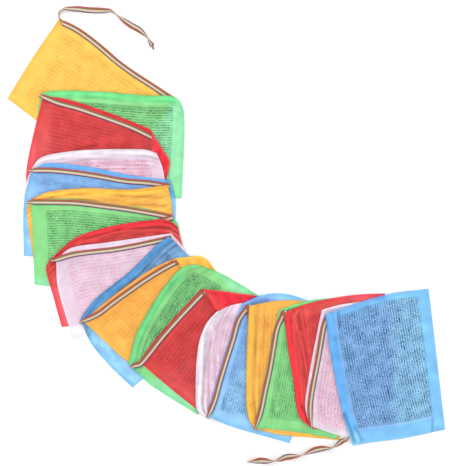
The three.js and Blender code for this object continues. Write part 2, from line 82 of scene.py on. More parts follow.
# One row for each flag, from the bottom of the pile to its top. Places are [x, y].
# front: the printed front and the tape face up; otherwise the back does, and the tape is underneath
# heading: the edge with the tape, from the pile's outer side to its inner side
# outer_side, inner_side: what the side edges pass between the heading and the hem
# fold: where the tape folds back towards the next flag, if that isn't at the corners of the two
# outer_turn: the tape's way from the fold at the outer end to the heading
# hem: the lower edge, from the outer side to the inner side
# strip: the cloth that shows beyond the tape, at the heading's outer end, middle and inner end
# turn: the tape's way from the fold before to the heading
FLAGS = [
    dict(
        cloth="yellow",
        front=True,
        heading=[[-393, 509], [-345, 485], [-293, 446], [-243, 403], [-188, 366], [-121, 323]],
        outer_side=[[-456, 417]],
        inner_side=[],
        hem=[[-516, 320], [-255, 120]],
        strip=[0, 0, 0],
    ),
    dict(
        cloth="green",
        front=False,
        heading=[[-434, 330], [-419, 336], [-312, 336], [-184, 326], [-123, 323], [-107, 309]],
        outer_side=[[-447, 270]],
        inner_side=[[-100, 283]],
        hem=[[-454, 94], [-105, 84]],
    ),
    dict(
        cloth="red",
        front=True,
        heading=[[-431, 323], [-388, 320], [-282, 288], [-178, 247]],
        outer_side=[[-447, 266], [-471, 153]],
        inner_side=[[-150, 198], [-134, 171], [-140, 135]],
        hem=[[-472, 99], [-152, 28]],
        strip=[4, 7, 5],
        fold=[-169, 225],
    ),
    dict(
        cloth="white",
        front=False,
        heading=[[-459, 151], [-439, 178], [-373, 194], [-238, 200], [-187, 198], [-163, 190]],
        outer_side=[[-474, 113]],
        inner_side=[[-148, 148]],
        hem=[[-468, -42], [-137, -33]],
        turn=[[-170, 208], [-179, 192], [-196, 188]],
    ),
    dict(
        cloth="blue",
        front=True,
        heading=[[-456, 151], [-426, 166], [-328, 159], [-227, 139], [-132, 127]],
        outer_side=[[-476, 78]],
        inner_side=[[-120, 78]],
        hem=[[-477, -51], [-130, -66]],
        strip=[9, 11, 2],
    ),
    dict(
        cloth="yellow",
        front=False,
        heading=[[-461, 78], [-426, 97], [-336, 108], [-226, 105], [-137, 115]],
        outer_side=[[-469, 59], [-461, -14]],
        inner_side=[[-128, 66]],
        hem=[[-447, -104], [-128, -85]],
    ),
    dict(
        cloth="green",
        front=True,
        heading=[[-459, 77], [-428, 82], [-380, 83], [-333, 79], [-239, 67], [-192, 61], [-128, 43]],
        outer_side=[[-454, -31]],
        inner_side=[[-112, 18]],
        hem=[[-452, -119], [-128, -156]],
        strip=[1, 1, 1],
        fold=[-127, 39],
    ),
    dict(
        cloth="red",
        front=False,
        heading=[[-403, -60], [-389, -38], [-354, -9], [-262, 20], [-137, 32], [-115, 19]],
        outer_side=[[-423, -74], [-407, -150]],
        inner_side=[[-103, -29]],
        hem=[[-388, -219], [-81, -189]],
        fold=[-405, -62],
    ),
    dict(
        cloth="white",
        front=True,
        heading=[[-399, -61], [-367, -34], [-282, -20], [-171, -4], [-129, 2]],
        outer_side=[[-398, -119]],
        inner_side=[[-99, -36]],
        hem=[[-362, -247], [-52, -184]],
        strip=[5, 12, 3],
    ),
    dict(
        cloth="blue",
        front=False,
        heading=[[-343, -199], [-312, -157], [-227, -88], [-162, -25], [-135, -5]],
        outer_side=[[-320, -255], [-277, -308]],
        inner_side=[[-85, -55]],
        hem=[[-221, -362], [9, -163]],
    ),
    dict(
        cloth="yellow",
        front=True,
        heading=[[-336, -205], [-280, -157], [-169, -79], [-120, -57]],
        outer_side=[[-251, -286]],
        inner_side=[[-55, -54], [-23, -88]],
        hem=[[-175, -347], [66, -212]],
        strip=[1, 6, 4],
        fold=[-114, -64],
    ),
    dict(
        cloth="green",
        front=False,
        heading=[[-230, -304], [-208, -228], [-139, -116], [-98, -76], [-71, -71]],
        outer_side=[[-180, -354]],
        inner_side=[[-23, -88], [26, -114]],
        hem=[[-67, -426], [115, -170]],
        turn=[[-96, -72], [-84, -88], [-100, -112]],
    ),
    dict(
        cloth="red",
        front=True,
        heading=[[-205, -300], [-169, -251], [-120, -194], [-58, -129]],
        outer_side=[[-126, -368]],
        inner_side=[[-17, -134], [71, -146]],
        hem=[[-52, -427], [155, -165]],
        strip=[1.5, 2.5, 2],
        fold=[-52, -136],
        outer_turn=[[-214, -309], [-204, -307]],
    ),
    dict(
        cloth="white",
        front=False,
        heading=[[-41, -431], [-67, -417], [-72, -363], [-64, -255], [-47, -211], [-23, -183]],
        outer_side=[[56, -458]],
        inner_side=[[21, -165]],
        hem=[[153, -479], [193, -158]],
        turn=[[-25, -158], [-12, -180], [-24, -200]],
        fold=[-43, -429],
    ),
    dict(
        cloth="blue",
        front=True,
        heading=[[-46, -427], [-23, -343], [14, -224], [23, -194], [38, -163]],
        outer_side=[[-2, -448]],
        inner_side=[[84, -144], [144, -142]],
        hem=[[149, -493], [254, -182]],
        strip=[2, 2, 2],
    ),
    dict(
        cloth="yellow",
        front=False,
        heading=[[67, -457], [52, -432], [47, -321], [52, -199], [54, -168]],
        outer_side=[[118, -471]],
        inner_side=[[135, -156]],
        hem=[[269, -486], [278, -165]],
        fold=[68, -457],
    ),
    dict(
        cloth="green",
        front=True,
        heading=[[67, -455], [80, -385], [98, -301], [108, -239], [124, -179]],
        outer_side=[[157, -465]],
        inner_side=[[181, -160], [240, -152]],
        hem=[[261, -483], [342, -158]],
        strip=[0, 1, 0],
        fold=[138, -181],
    ),
    dict(
        cloth="red",
        front=False,
        heading=[[201, -457], [172, -429], [158, -345], [141, -235], [139, -184]],
        outer_side=[[292, -465]],
        inner_side=[[190, -164], [298, -144]],
        hem=[[403, -455], [374, -140]],
        fold=[200, -452],
    ),
    dict(
        cloth="white",
        front=True,
        heading=[[198, -451], [186, -408], [193, -343], [213, -235], [225, -178]],
        outer_side=[[282, -478]],
        inner_side=[[275, -165]],
        hem=[[417, -467], [431, -151]],
        strip=[0, 7, 3],
        fold=[238, -192],
    ),
    dict(
        cloth="blue",
        front=False,
        heading=[[297, -497], [275, -428], [242, -262], [232, -188]],
        outer_side=[[349, -490], [426, -480]],
        inner_side=[[375, -143]],
        hem=[[516, -461], [493, -262], [477, -129]],
    ),
]

# The tie at the lowest flag, from its free end. Rows are [x, y, degrees that the tape is rolled over,
# share of its width that is spread out].
LOWER_TIE = [
    [-175.6, 446, 505, 1],
    [-179.4, 453, 480, 1],
    [-184.6, 461.4, 450, 1],
    [-195.2, 472.5, 415, 1],
    [-206.3, 481.9, 385, 1],
    [-221.1, 490.2, 360, 1],
    [-235.8, 499.8, 335, 1],
    [-247.6, 508.1, 305, 1],
    [-258.9, 517.3, 272, 1],
    [-273.5, 526, 250, 1],
    [-284.6, 526, 228, 1],
    [-299.2, 526.8, 205, 1],
    [-323.8, 528.2, 180, 1],
    [-349.5, 531, 165, 1],
    [-364.1, 531, 148, 1],
    [-376, 531.5, 132, 1],
    [-386.3, 528.6, 112, 1],
    [-393.2, 523.4, 96, 0.8],
    [-394.8, 516.8, 90, 0.5],
    [-394, 511, 80, 0.4],
]

# The tie at the top flag: flat under that flag's corner, and then rolled over to its free end
UPPER_TIE_START = [[299, -452], [296, -464]]
UPPER_TIE = [
    [294, -470, 210, 0.5],
    [290, -477, 270, 0.35],
    [284, -483, 325, 0.5],
    [270.9, -489.7, 370, 0.9],
    [259.1, -498, 410, 1],
    [247.3, -503.4, 450, 1],
    [228.4, -504.6, 495, 1],
    [209.6, -509.3, 540, 1],
    [190.7, -515.7, 590, 1],
    [173, -522, 630, 1],
    [157.6, -523.4, 670, 1],
    [141.1, -526.8, 720, 1],
    [124.6, -532.2, 765, 1],
    [109.3, -534.5, 810, 1],
    [93.9, -534.5, 860, 1],
    [79.8, -534.5, 900, 1],
    [63.2, -535.5, 950, 1],
    [49.1, -536.5, 978, 1],
]


def srgb(red, green, blue):
    """A screen colour of 0 to 255 as linear light."""
    return np.array([(c / 255) ** 2.2 for c in (red, green, blue)])


# What each cloth looks like over white and over black, because it is sheer, and its ink
CLOTHS = {
    "blue": dict(bright=srgb(156, 212, 252), deep=srgb(50, 134, 216), ink=srgb(22, 68, 104), pitch=5.8),
    "white": dict(bright=srgb(250, 246, 252), deep=srgb(206, 194, 216), ink=srgb(222, 84, 122), pitch=8.2),
    "red": dict(bright=srgb(250, 104, 114), deep=srgb(198, 22, 44), ink=srgb(128, 20, 42), pitch=8.8),
    "green": dict(bright=srgb(154, 234, 176), deep=srgb(86, 200, 116), ink=srgb(30, 80, 54), pitch=5.8),
    "yellow": dict(bright=srgb(250, 201, 93), deep=srgb(250, 162, 68), ink=srgb(190, 94, 40), pitch=8.8),
}

# How each flag is worn and shaded: the height of the folds beside its heading in millimetres, how blotchy it is, how
# much painted shade darkens it beside its heading (below 0 it is made lighter there), and how strongly its print shows
WEAR_AND_SHADE = {
    20: (0.2, 0.05, 0.02, 0.22),
    19: (0.5, 0.04, 0.04, 0.68),
    18: (0.2, 0.05, 0.00, 0.32),
    17: (1.0, 0.05, 0.05, 0.55),
    16: (0.2, 0.06, 0.05, 0.38),
    15: (1.8, 0.04, -0.04, 0.22),
    14: (0.1, 0.04, 0.00, 0.66),
    13: (2.4, 0.05, 0.02, 0.35),
    12: (0.1, 0.03, 0.00, 0.32),
    11: (2.0, 0.13, 0.34, 0.55),
    10: (0.2, 0.03, 0.00, 0.26),
    9: (0.8, 0.05, 0.12, 0.72),
    8: (0.2, 0.05, 0.00, 0.34),
    7: (1.5, 0.06, 0.03, 0.32),
    6: (0.2, 0.05, 0.00, 0.52),
    5: (0.7, 0.04, 0.00, 0.40),
    4: (0.2, 0.04, 0.00, 0.54),
    3: (1.3, 0.05, -0.12, 0.34),
    2: (0.3, 0.03, 0.00, 0.47),
    1: (0.2, 0.04, 0.00, 0.80),
}
HEADING_REACH = 60.0

# How much of a layer's own hue shows through the cloth above it, beside its lightness
HUE_SHARE = 0.5
TURNED_DEPTH = 0.5

# How far the printed block keeps from the heading, the hem, the outer side and the inner side
MARGINS = (27, 26, 34, 30)
NARROW_OUTER_MARGINS = {6: 25, 4: 24, 2: 19}
TOP_MARGINS = (27, 25, 37, 15)
# How wide the cloth is turned double along the heading, the hem, the outer side and the inner side
TURNINGS = (15, 4, 7, 7)
TOP_TURNINGS = (24, 27, 33, 17)

# Corners that are folded over: the crease, the free edge, and the sides between them from crease to free edge
FLAPS = {
    18: dict(
        crease=[[-175, 240], [-150, 198], [-134, 171], [-138, 142]],
        free=[[-175, 227], [-176, 196], [-168, 151], [-153, 120]],
        start=[],
        end=[],
    ),
    10: dict(
        crease=[[-118, -57], [-88, -55], [-55, -54], [-24, -87]],
        free=[[-94, -108], [-55, -112], [-20, -101]],
        start=[[-108, -76]],
        end=[],
    ),
    8: dict(
        crease=[[-55, -130], [-17, -134], [25, -140], [66, -145]],
        free=[[-29, -177], [15, -190], [60, -172]],
        start=[[-46, -142]],
        end=[],
    ),
}

# The creases that show, for each flag. Rows are [start, end, width, height], and a trough has a height below 0.
CREASES = {
    19: [[[-420, 318], [-130, 306], 4, 0.8], [[-300, 300], [-130, 290], 5, -0.6]],
    18: [[[-400, 290], [-250, 255], 14, 0.9], [[-330, 215], [-215, 225], 10, 0.8], [[-352, 201], [-300, 211], 3, -1.8]],
    17: [[[-380, 178], [-200, 184], 5, 0.9], [[-230, 172], [-175, 165], 6, 0.7]],
    16: [[[-420, 135], [-300, 120], 10, 0.7]],
    15: [
        [[-405, 88], [-150, 98], 5, 1.4],
        [[-370, 76], [-140, 66], 5, -1.2],
        [[-300, 73], [-138, 54], 6, 1.2],
        [[-250, 92], [-145, 84], 4, -0.9],
    ],
    14: [[[-400, 40], [-300, 55], 12, 0.7]],
    13: [
        [[-330, -10], [-250, 10], 2.5, -2.6],
        [[-256, 9], [-171, 17], 2.5, -2.6],
        [[-180, 17], [-128, 14], 2.5, -2.2],
        [[-300, -14], [-190, 0], 2.5, -1.8],
        [[-300, 6], [-145, 25], 5, 1.2],
        [[-405, -62], [-340, -15], 4, 1.6],
        [[-412, -72], [-352, -26], 3, -1.9],
        [[-398, -52], [-330, -4], 3, -1.3],
    ],
    12: [[[-330, -60], [-180, -40], 14, 0.6]],
    11: [
        [[-255, -155], [-145, -66], 8, 1.4],
        [[-180, -97], [-115, -57], 7, -1.3],
        [[-150, -35], [-110, -45], 8, 1.3],
    ],
    9: [[[-190, -215], [-100, -105], 7, 1.1], [[-165, -245], [-60, -110], 9, -0.8]],
    8: [[[-150, -260], [-60, -180], 14, 0.7]],
    7: [
        [[-58, -260], [-62, -380], 5, 1.2],
        [[-48, -230], [-52, -330], 4, -0.8],
        [[-35, -215], [-20, -300], 5, 0.9],
    ],
    6: [
        [[42, -166], [92, -144], 3, 2.4],
        [[60, -166], [100, -156], 4, -2.0],
        [[25, -250], [-10, -380], 9, 0.7],
        [[-4, -383], [-8, -414], 4, -1.6],
    ],
    5: [
        [[57, -395], [66, -448], 3, -1.8],
        [[50, -385], [61, -440], 3, 1.4],
        [[66, -395], [71, -450], 2.5, -1.4],
        [[60, -190], [56, -400], 3, 0.9],
        [[70, -190], [66, -400], 3, -0.7],
        [[82, -185], [72, -390], 4, 0.9],
    ],
    4: [
        [[129, -180], [171, -165], 3, 2.4],
        [[140, -184], [185, -172], 3, -1.8],
        [[110, -388], [109, -420], 4, -1.4],
    ],
    3: [
        [[176, -400], [196, -446], 3, -2.2],
        [[186, -395], [200, -444], 2.5, 1.6],
        [[168, -400], [188, -448], 3, 1.5],
        [[160, -192], [165, -229], 3, 2.0],
        [[174, -175], [160, -192], 3, 1.8],
        [[167, -190], [175, -225], 3, -1.5],
        [[150, -185], [152, -215], 3, -1.2],
        [[190, -180], [200, -330], 7, 0.9],
        [[160, -300], [185, -420], 8, 0.8],
    ],
    2: [[[229, -178], [252, -172], 3, 1.8], [[252, -172], [297, -164], 3, 1.4], [[200, -330], [210, -420], 5, 0.8]],
    1: [
        [[277, -420], [303, -492], 5, -3.4],
        [[290, -436], [312, -488], 3, 1.6],
        [[300, -452], [322, -488], 3.5, -1.4],
        [[240, -190], [254, -240], 5, 1.2],
        [[264, -182], [268, -226], 3.5, -2.0],
        [[487, -432], [486, -470], 2.5, -1.6],
        [[330, -420], [480, -395], 24, 0.9],
        [[300, -250], [430, -300], 22, 0.8],
        [[280, -340], [340, -300], 14, -1.0],
        [[300, -420], [350, -350], 16, -0.8],
    ],
}

# How far the tape is crumpled from where it folds back at the outer end of a flag whose front is up
CRUMPLED_LENGTHS = {18: 9, 16: 14, 14: 14, 12: 12, 10: 18, 8: 7, 6: 16, 4: 36, 2: 36}
FLOOR_COLOUR = srgb(250, 250, 250)
TAPE_COLOUR = srgb(185, 168, 120)


class Line:
    """A smooth line through places, walked by its own length."""

    SAMPLES = 600

    def __init__(self, places):
        points = np.array(places, float)
        before = 2 * points[0] - points[1]
        after = 2 * points[-1] - points[-2]
        around = np.vstack([before, points, after])
        share = np.linspace(0, 1, 40, endpoint=False)[:, None]
        pieces = [self.span(around[i : i + 4], share) for i in range(len(points) - 1)]
        fine = np.vstack([*pieces, points[-1:]])
        lengths = np.r_[0, np.cumsum(np.linalg.norm(np.diff(fine, axis=0), axis=1))]
        self.length = lengths[-1]
        self.steps = np.linspace(0, 1, self.SAMPLES)
        self.points = np.column_stack(
            [np.interp(self.steps * self.length, lengths, fine[:, axis]) for axis in range(fine.shape[1])]
        )

    @staticmethod
    def span(p, t):
        """The stretch between the second and third of four places, with knots spaced by the root of distance."""
        gaps = [math.sqrt(np.linalg.norm(b - a)) for a, b in zip(p, p[1:])]
        start = (p[1] - p[0]) / gaps[0] - (p[2] - p[0]) / (gaps[0] + gaps[1]) + (p[2] - p[1]) / gaps[1]
        end = (p[2] - p[1]) / gaps[1] - (p[3] - p[1]) / (gaps[1] + gaps[2]) + (p[3] - p[2]) / gaps[2]
        start, end = start * gaps[1], end * gaps[1]
        bend = -3 * p[1] + 3 * p[2] - 2 * start - end
        twist = 2 * p[1] - 2 * p[2] + start + end
        return p[1] + start * t + bend * t**2 + twist * t**3

    def at(self, share):
        return np.stack([np.interp(share, self.steps, column) for column in self.points.T], axis=-1)

    def way(self, share):
        step = 1e-3
        low, high = np.clip(share - step, 0, 1), np.clip(share + step, 0, 1)
        return unit(self.at(high) - self.at(low))


def unit(vector):
    return vector / np.linalg.norm(vector, axis=-1, keepdims=True)


def right_of(way):
    return np.stack([way[..., 1], -way[..., 0]], axis=-1)


def patch(top, low, left, right, columns, rows):
    """Places on a sheet stretched between four edge lines, as rows of columns."""
    u = np.linspace(0, 1, columns + 1)[None, :, None]
    v = np.linspace(0, 1, rows + 1)[:, None, None]
    across_top, across_low = top.at(u[0, :, 0])[None], low.at(u[0, :, 0])[None]
    down_left, down_right = left.at(v[:, 0, 0])[:, None], right.at(v[:, 0, 0])[:, None]
    corners = (
        (1 - u) * (1 - v) * across_top[:, :1]
        + u * (1 - v) * across_top[:, -1:]
        + (1 - u) * v * across_low[:, :1]
        + u * v * across_low[:, -1:]
    )
    return (1 - v) * across_top + v * across_low + (1 - u) * down_left + u * down_right - corners


def flag_edges(row):
    heading, hem = row["heading"], row["hem"]
    return dict(
        heading=Line(heading),
        hem=Line(hem),
        outer=Line([heading[0], *row["outer_side"], hem[0]]),
        inner=Line([heading[-1], *row["inner_side"], hem[-1]]),
    )


class Pile:
    """The top of what lies on the floor so far: its height and its colour, on a map of small cells."""

    def __init__(self):
        self.height = np.zeros((MAP_SIDE, MAP_SIDE))
        self.colour = np.tile(FLOOR_COLOUR, (MAP_SIDE, MAP_SIDE, 1))

    @staticmethod
    def cells(places):
        cell = ((places + MAP_REACH) / MAP_CELL).astype(int)
        return np.clip(cell[..., 1], 0, MAP_SIDE - 1), np.clip(cell[..., 0], 0, MAP_SIDE - 1)

    def under(self, places, reach=2):
        """The highest place within so many cells of each place."""
        high = self.height
        for axis in (0, 1):
            high = np.max([np.roll(high, shift, axis) for shift in range(-reach, reach + 1)], axis=0)
        return high[self.cells(places)]

    def colour_under(self, places):
        """The colour that shows through at each place, a little blurred."""
        near = self.colour
        for axis in (0, 1, 0, 1, 0, 1):
            near = (np.roll(near, 1, axis) + near + np.roll(near, -1, axis)) / 3
        where = (places + MAP_REACH) / MAP_CELL - 0.5
        low = where.astype(int)
        share = (where - low)[..., None, :]
        column, row = low[..., 0], low[..., 1]
        first = near[row, column] * (1 - share[..., 0]) + near[row, column + 1] * share[..., 0]
        second = near[row + 1, column] * (1 - share[..., 0]) + near[row + 1, column + 1] * share[..., 0]
        return first * (1 - share[..., 1]) + second * share[..., 1]

    def add(self, places, top, colour):
        fine = [refined(part, 4) for part in (places, top[..., None], colour)]
        cells = self.cells(fine[0])
        np.maximum.at(self.height, cells, fine[1][..., 0])
        self.colour[cells] = fine[2]


def refined(grid, times):
    """A grid of values with so many steps between each two."""
    for axis in (0, 1):
        count = grid.shape[axis]
        steps = np.linspace(0, count - 1, (count - 1) * times + 1)
        low = np.minimum(steps.astype(int), count - 2)
        share = (steps - low).reshape([-1 if a == axis else 1 for a in range(3)])
        grid = np.take(grid, low, axis) * (1 - share) + np.take(grid, low + 1, axis) * share
    return grid


def evened(grid):
    """Each value as the mean of its four neighbours."""
    wide = np.pad(grid, 1, mode="edge")
    return (wide[:-2, 1:-1] + wide[2:, 1:-1] + wide[1:-1, :-2] + wide[1:-1, 2:]) / 4


def drape(least):
    """Heights of a limp sheet that has to stay above a least height."""
    height = least.copy()
    for _ in range(DRAPE_PASSES):
        height = np.maximum(least, evened(height) - SAG)
    return height


def soft_unevenness(places, rng, height, longest):
    """A few long shallow waves, so that no sheet lies quite flat."""
    total = np.zeros(places.shape[:2])
    for _ in range(7):
        angle = rng.uniform(0, math.pi)
        length = rng.uniform(0.3, 1) * longest
        phase = rng.uniform(0, 2 * math.pi)
        along = places[..., 0] * math.cos(angle) + places[..., 1] * math.sin(angle)
        total += np.sin(2 * math.pi * along / length + phase)
    return height * np.clip(0.5 + total / 7, 0, 1.4)


def lay(places, pile, thickness, relief):
    """Heights of a sheet's middle surface, laid on the pile, with its own relief on top."""
    least = pile.under(places) + LAYER_GAP + thickness / 2
    draped = drape(least)
    raised = evened(evened(draped)) + relief
    return np.maximum(raised, least - LAYER_GAP / 2)


def upward(middle):
    """The way a sheet's upper face looks, at each place of its grid."""
    normal = unit(np.cross(np.gradient(middle, axis=1), np.gradient(middle, axis=0)))
    return normal * np.sign(normal[..., 2].mean())


def closed_sheet(name, middle, normal, thickness, uvs, colour, rim):
    """A closed thin sheet round a grid of places.

    It carries its flat coordinates, its dye with any painted shade and the strength of its print, and how far each
    place is from its rim.
    """
    front, back = middle + normal * thickness / 2, middle - normal * thickness / 2
    rows, columns = front.shape[:2]
    count = rows * columns
    index = np.arange(count).reshape(rows, columns)
    a, b, c, d = index[:-1, :-1], index[:-1, 1:], index[1:, 1:], index[1:, :-1]
    faces = [np.stack([a, d, c, b], -1).reshape(-1, 4), np.stack([a, b, c, d], -1).reshape(-1, 4) + count]
    border = np.r_[index[0, :-1], index[:-1, -1], index[-1, :0:-1], index[:0:-1, 0]]
    following = np.roll(border, -1)
    faces.append(np.stack([border, following, following + count, border + count], -1))
    points = np.vstack([front.reshape(-1, 3), back.reshape(-1, 3)]) * MM
    polygons = np.vstack(faces)
    mesh = bpy.data.meshes.new(name)
    mesh.from_pydata(points.tolist(), [], polygons.tolist())
    corner = polygons.ravel() % count
    for layer, values in uvs.items():
        flat = (values.reshape(-1, 2) * MM)[corner]
        mesh.uv_layers.new(name=layer).data.foreach_set("uv", flat.astype(np.float32).ravel())
    dye = mesh.attributes.new("DyeAndShade", "FLOAT_COLOR", "POINT")
    shade = colour.reshape(-1, 4)
    dye.data.foreach_set("color", np.vstack([shade, shade]).astype(np.float32).ravel())
    edge = mesh.attributes.new("Rim", "FLOAT", "POINT")
    edge.data.foreach_set("value", np.tile(rim.ravel() * MM, 2).astype(np.float32))
    mesh.update()
    mesh.polygons.foreach_set("use_smooth", np.ones(len(polygons), bool))
    mesh.set_sharp_from_angle(angle=math.radians(55))
    return mesh


def sheet_object(name, meshes, material):
    """One object from one or more sheets."""
    objects = []
    for mesh in meshes:
        obj = bpy.data.objects.new(name, mesh)
        bpy.context.scene.collection.objects.link(obj)
        objects.append(obj)
    if len(objects) > 1:
        with bpy.context.temp_override(active_object=objects[0], selected_editable_objects=objects):
            bpy.ops.object.join()
    made = objects[0]
    made.name = name
    made.data.name = name
    made.data.materials.clear()
    made.data.materials.append(material)
    return made


def distances(places):
    """How far each place of a flag's grid lies from the outer side, the inner side, the heading and the hem."""
    across = np.linalg.norm(np.diff(places, axis=1), axis=2)
    down = np.linalg.norm(np.diff(places, axis=0), axis=2)
    outer = np.pad(np.cumsum(across, axis=1), ((0, 0), (1, 0)))
    heading = np.pad(np.cumsum(down, axis=0), ((1, 0), (0, 0)))
    return outer, outer[:, -1:] - outer, heading, heading[-1:] - heading


def sheer_colour(cloth, under, turned):
    """A sheer cloth's colour over another colour, and over itself as well where it is turned double."""
    lightness = under.mean(axis=-1, keepdims=True)
    seen = lightness + (under - lightness) * HUE_SHARE
    single = cloth["deep"] + (cloth["bright"] - cloth["deep"]) * seen
    double = cloth["deep"] + (cloth["bright"] - cloth["deep"]) * single
    return single + (double - single) * turned[..., None] * TURNED_DEPTH


def soft_step(value, start, end):
    """0 below start and 1 above end, softly between them."""
    share = np.clip((value - start) / (end - start), 0, 1)
    return share * share * (3 - 2 * share)


class Nodes:
    """Short calls for a material's nodes."""

    def __init__(self, name):
        self.material = bpy.data.materials.new(name)
        self.material.use_nodes = True
        self.tree = self.material.node_tree
        self.shader = self.tree.nodes["Principled BSDF"]

    def add(self, kind, settings=(), **inputs):
        made = self.tree.nodes.new(kind)
        for key, value in dict(settings).items():
            setattr(made, key, value)
        for key, value in inputs.items():
            self.feed(made.inputs[key.replace("_", " ")], value)
        return made

    def feed(self, socket, value):
        if isinstance(value, bpy.types.NodeSocket):
            self.tree.links.new(value, socket)
        elif value is not None:
            socket.default_value = value

    def calc(self, operation, a, b=None, c=None):
        made = self.tree.nodes.new("ShaderNodeMath")
        made.operation = operation
        for socket, value in zip(made.inputs, (a, b, c)):
            self.feed(socket, value)
        return made.outputs[0]

    def ramp(self, value, start, end):
        """0 below start and 1 above end, softly between them."""
        made = self.add("ShaderNodeMapRange", {"interpolation_type": "SMOOTHSTEP"})
        for socket, number in zip(made.inputs, (value, start, end, 0.0, 1.0)):
            self.feed(socket, number)
        return made.outputs[0]

    def mix(self, share, a, b, blend="MIX"):
        made = self.add("ShaderNodeMix", {"data_type": "RGBA", "blend_type": blend})
        self.feed(made.inputs["Factor"], share)
        self.feed(made.inputs[6], a)
        self.feed(made.inputs[7], b)
        return made.outputs[2]

    def vector(self, x, y, z=0.0):
        made = self.add("ShaderNodeCombineXYZ")
        for socket, value in zip(made.inputs, (x, y, z)):
            self.feed(socket, value)
        return made.outputs[0]

    def split(self, layer):
        uv = self.add("ShaderNodeUVMap", {"uv_map": layer}).outputs[0]
        parts = self.add("ShaderNodeSeparateXYZ", Vector=uv).outputs
        return parts[0], parts[1]

    def noise(self, vector, scale, detail=2.0):
        made = self.add("ShaderNodeTexNoise", Vector=vector, Scale=scale, Detail=detail)
        return made.outputs[0]


def rgba(colour):
    return (*[float(c) for c in colour], 1.0)


MARK_SHARE = 0.3
WORD_WIDTH = 16 * MM
STITCH_PLACE = 6.0 * MM


def printed_rows(n, pitch):
    """How much ink lies at each place: rows of small unreadable marks inside a thin frame."""
    along, down = n.split("Print")
    back_along, back_down = n.split("PrintEnd")
    inside = n.calc("MINIMUM", n.calc("MINIMUM", along, back_along), n.calc("MINIMUM", down, back_down))
    block = n.ramp(inside, 1.8 * MM, 2.4 * MM)
    border = n.calc("MULTIPLY", n.ramp(inside, 0.0, 0.3 * MM), n.ramp(inside, 1.4 * MM, 1.1 * MM))
    row = n.calc("DIVIDE", down, pitch)
    number = n.calc("FLOOR", row)
    part = n.calc("FRACT", row)
    band = n.calc("MULTIPLY", n.ramp(part, 0.08, 0.2), n.ramp(part, 0.9, 0.76))
    across = n.calc("DIVIDE", along, pitch * MARK_SHARE)
    marks = n.noise(n.vector(across, n.calc("MULTIPLY", part, 2.2), n.calc("MULTIPLY", number, 5.3)), 1.0)
    words = n.noise(n.vector(n.calc("DIVIDE", along, WORD_WIDTH), 0.0, n.calc("MULTIPLY", number, 3.1)), 1.0)
    written = n.ramp(words, 0.26, 0.32)
    strokes = n.calc("MULTIPLY", n.ramp(marks, 0.44, 0.54), band)
    head = n.calc("MULTIPLY", n.ramp(part, 0.1, 0.16), n.ramp(part, 0.4, 0.32))
    ink = n.calc("MAXIMUM", strokes, n.calc("MULTIPLY", head, 0.7))
    ink = n.calc("MULTIPLY", n.calc("MULTIPLY", ink, written), block)
    return n.calc("MAXIMUM", ink, n.calc("MULTIPLY", border, 0.7))


def weave_height(n, pitch):
    """A plain weave's threads, over and under."""
    outer, heading = n.split("Print")
    turn = 2 * math.pi / pitch
    warp = n.calc("SINE", n.calc("MULTIPLY", outer, turn))
    weft = n.calc("SINE", n.calc("MULTIPLY", heading, turn))
    return n.calc("MULTIPLY", warp, weft)


def cloth_material(name, cloth):
    n = Nodes(name)
    outer, heading = n.split("Print")
    # The sheet's colour attribute holds its dye together with the painted shade of its creases and heading
    dyed_and_shaded = n.add("ShaderNodeAttribute", {"attribute_name": "DyeAndShade"})
    edge = n.add("ShaderNodeAttribute", {"attribute_name": "Rim"}).outputs["Fac"]
    flat = n.vector(outer, heading)
    patchy = n.noise(flat, 26.0, 4.0)
    slubs = n.noise(n.vector(n.calc("MULTIPLY", outer, 60.0), n.calc("MULTIPLY", heading, 900.0)), 1.0)
    tone = n.calc("ADD", n.calc("MULTIPLY", patchy, 0.3), n.calc("MULTIPLY", slubs, 0.12))
    tone = n.calc("ADD", tone, 0.8)
    # Painted shade: the cloth is up to 18% darker within 2.2 mm of its rim, where its edges roll over
    tone = n.calc("MULTIPLY", tone, n.calc("ADD", n.calc("MULTIPLY", n.ramp(edge, 0.0, 2.2 * MM), 0.18), 0.82))
    shaded = n.mix(1.0, dyed_and_shaded.outputs["Color"], n.vector(tone, tone, tone), "MULTIPLY")
    start, end = STITCH_PLACE, STITCH_PLACE + 0.9 * MM
    stitches = n.calc("MULTIPLY", n.ramp(edge, start, start + 0.3 * MM), n.ramp(edge, end, end - 0.3 * MM))
    seam = n.mix(n.calc("MULTIPLY", stitches, 0.25), shaded, rgba(cloth["deep"] * 0.6))
    ink = n.calc("MULTIPLY", printed_rows(n, cloth["pitch"] * MM), dyed_and_shaded.outputs["Alpha"])
    colour = n.mix(ink, seam, rgba(cloth["ink"]))
    n.feed(n.shader.inputs["Base Color"], colour)
    n.shader.inputs["Roughness"].default_value = 0.85
    n.shader.inputs["Specular IOR Level"].default_value = 0.25
    n.shader.inputs["Sheen Weight"].default_value = 0.15
    n.shader.inputs["Sheen Roughness"].default_value = 0.5
    height = n.calc("ADD", n.calc("MULTIPLY", weave_height(n, 0.9 * MM), 0.3), n.calc("MULTIPLY", stitches, -1.0))
    bump = n.add("ShaderNodeBump", Strength=0.35, Distance=0.0004, Height=height)
    n.feed(n.shader.inputs["Normal"], bump.outputs[0])
    return n.material


# The tape's stripes from its outer edge to its inner edge: where each ends, in millimetres, and its colour
STRIPES = [
    (2.6, srgb(206, 70, 74)),
    (6.3, srgb(132, 116, 84)),
    (9.8, srgb(240, 220, 184)),
    (11.8, srgb(204, 168, 166)),
    (14.0, srgb(86, 62, 92)),
]


